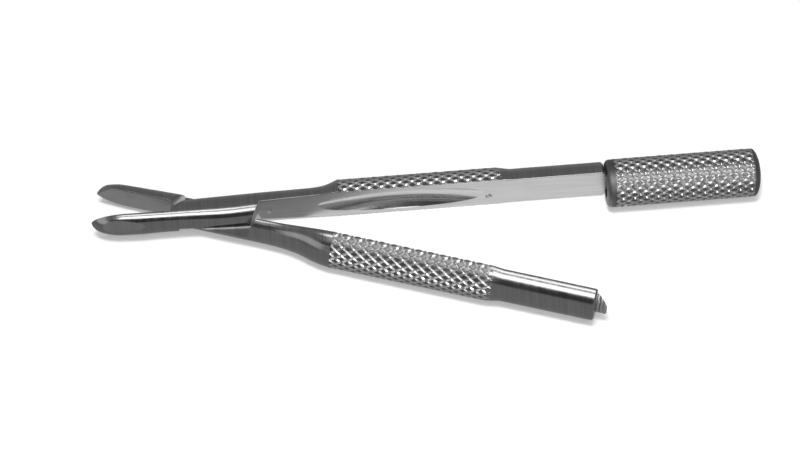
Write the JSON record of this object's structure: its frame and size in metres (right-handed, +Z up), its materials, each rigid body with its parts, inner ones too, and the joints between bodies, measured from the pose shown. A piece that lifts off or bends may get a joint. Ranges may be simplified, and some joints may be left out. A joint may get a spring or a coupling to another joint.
{
  "type": "dental extraction forceps",
  "caption": "Slim extraction forceps: two half-round arms crossing in a pinned half-lap, knurled grips and a sprung sleeve that holds the closed handles.",
  "frame": {"origin": "centre of the box's bottom face, with the forceps lying flat and half open as stored", "axes": "+X along the far arm, from the jaws towards the lock sleeve; +Z up, along the pivot pin"},
  "size_m": [0.1388, 0.039, 0.0104],
  "materials": {
    "steel_bright": "fine brushed, nearly polished",
    "steel_sleeve": "knurled, satin",
    "steel_pin": "ground",
    "steel_spring": "drawn wire"
  },
  "bodies": {
    "far_arm": {"far_arm": "steel_bright", "pivot_pin": "steel_pin", "lock_spring": "steel_spring", "spring_seat": "steel_pin", "stem_screw": "steel_pin"},
    "near_arm": {"near_arm": "steel_bright", "front_guide_pin": "steel_pin", "rear_guide_pin": "steel_pin"},
    "thrust_washer": {"thrust_washer": "steel_pin"},
    "lock_sleeve": {"lock_sleeve": "steel_sleeve", "end_plug": "steel_sleeve"}
  },
  "joints": [
    {"name": "arm_pivot", "type": "hinge", "parent": "far_arm", "child": "near_arm", "pos_m": [-0.04659, 0.01108, 0.0052], "axis": [0, 0, 1], "range_deg": [0, 18.4]},
    {"name": "sleeve_slide", "type": "slide", "parent": "far_arm", "child": "thrust_washer", "axis": [1, 0, 0], "range_m": [0, 0.0024], "stiffness_N_per_m": 150, "deforming": ["lock_spring"]},
    {"name": "sleeve_spin", "type": "hinge", "parent": "thrust_washer", "child": "lock_sleeve", "pos_m": [0.05341, 0.01108, 0.0052], "axis": [1, 0, 0], "continuous": true}
  ],
  "couplings": [
    {"joint": "sleeve_slide", "follows": "arm_pivot", "m_per_rad": 0.00747}
  ]
}
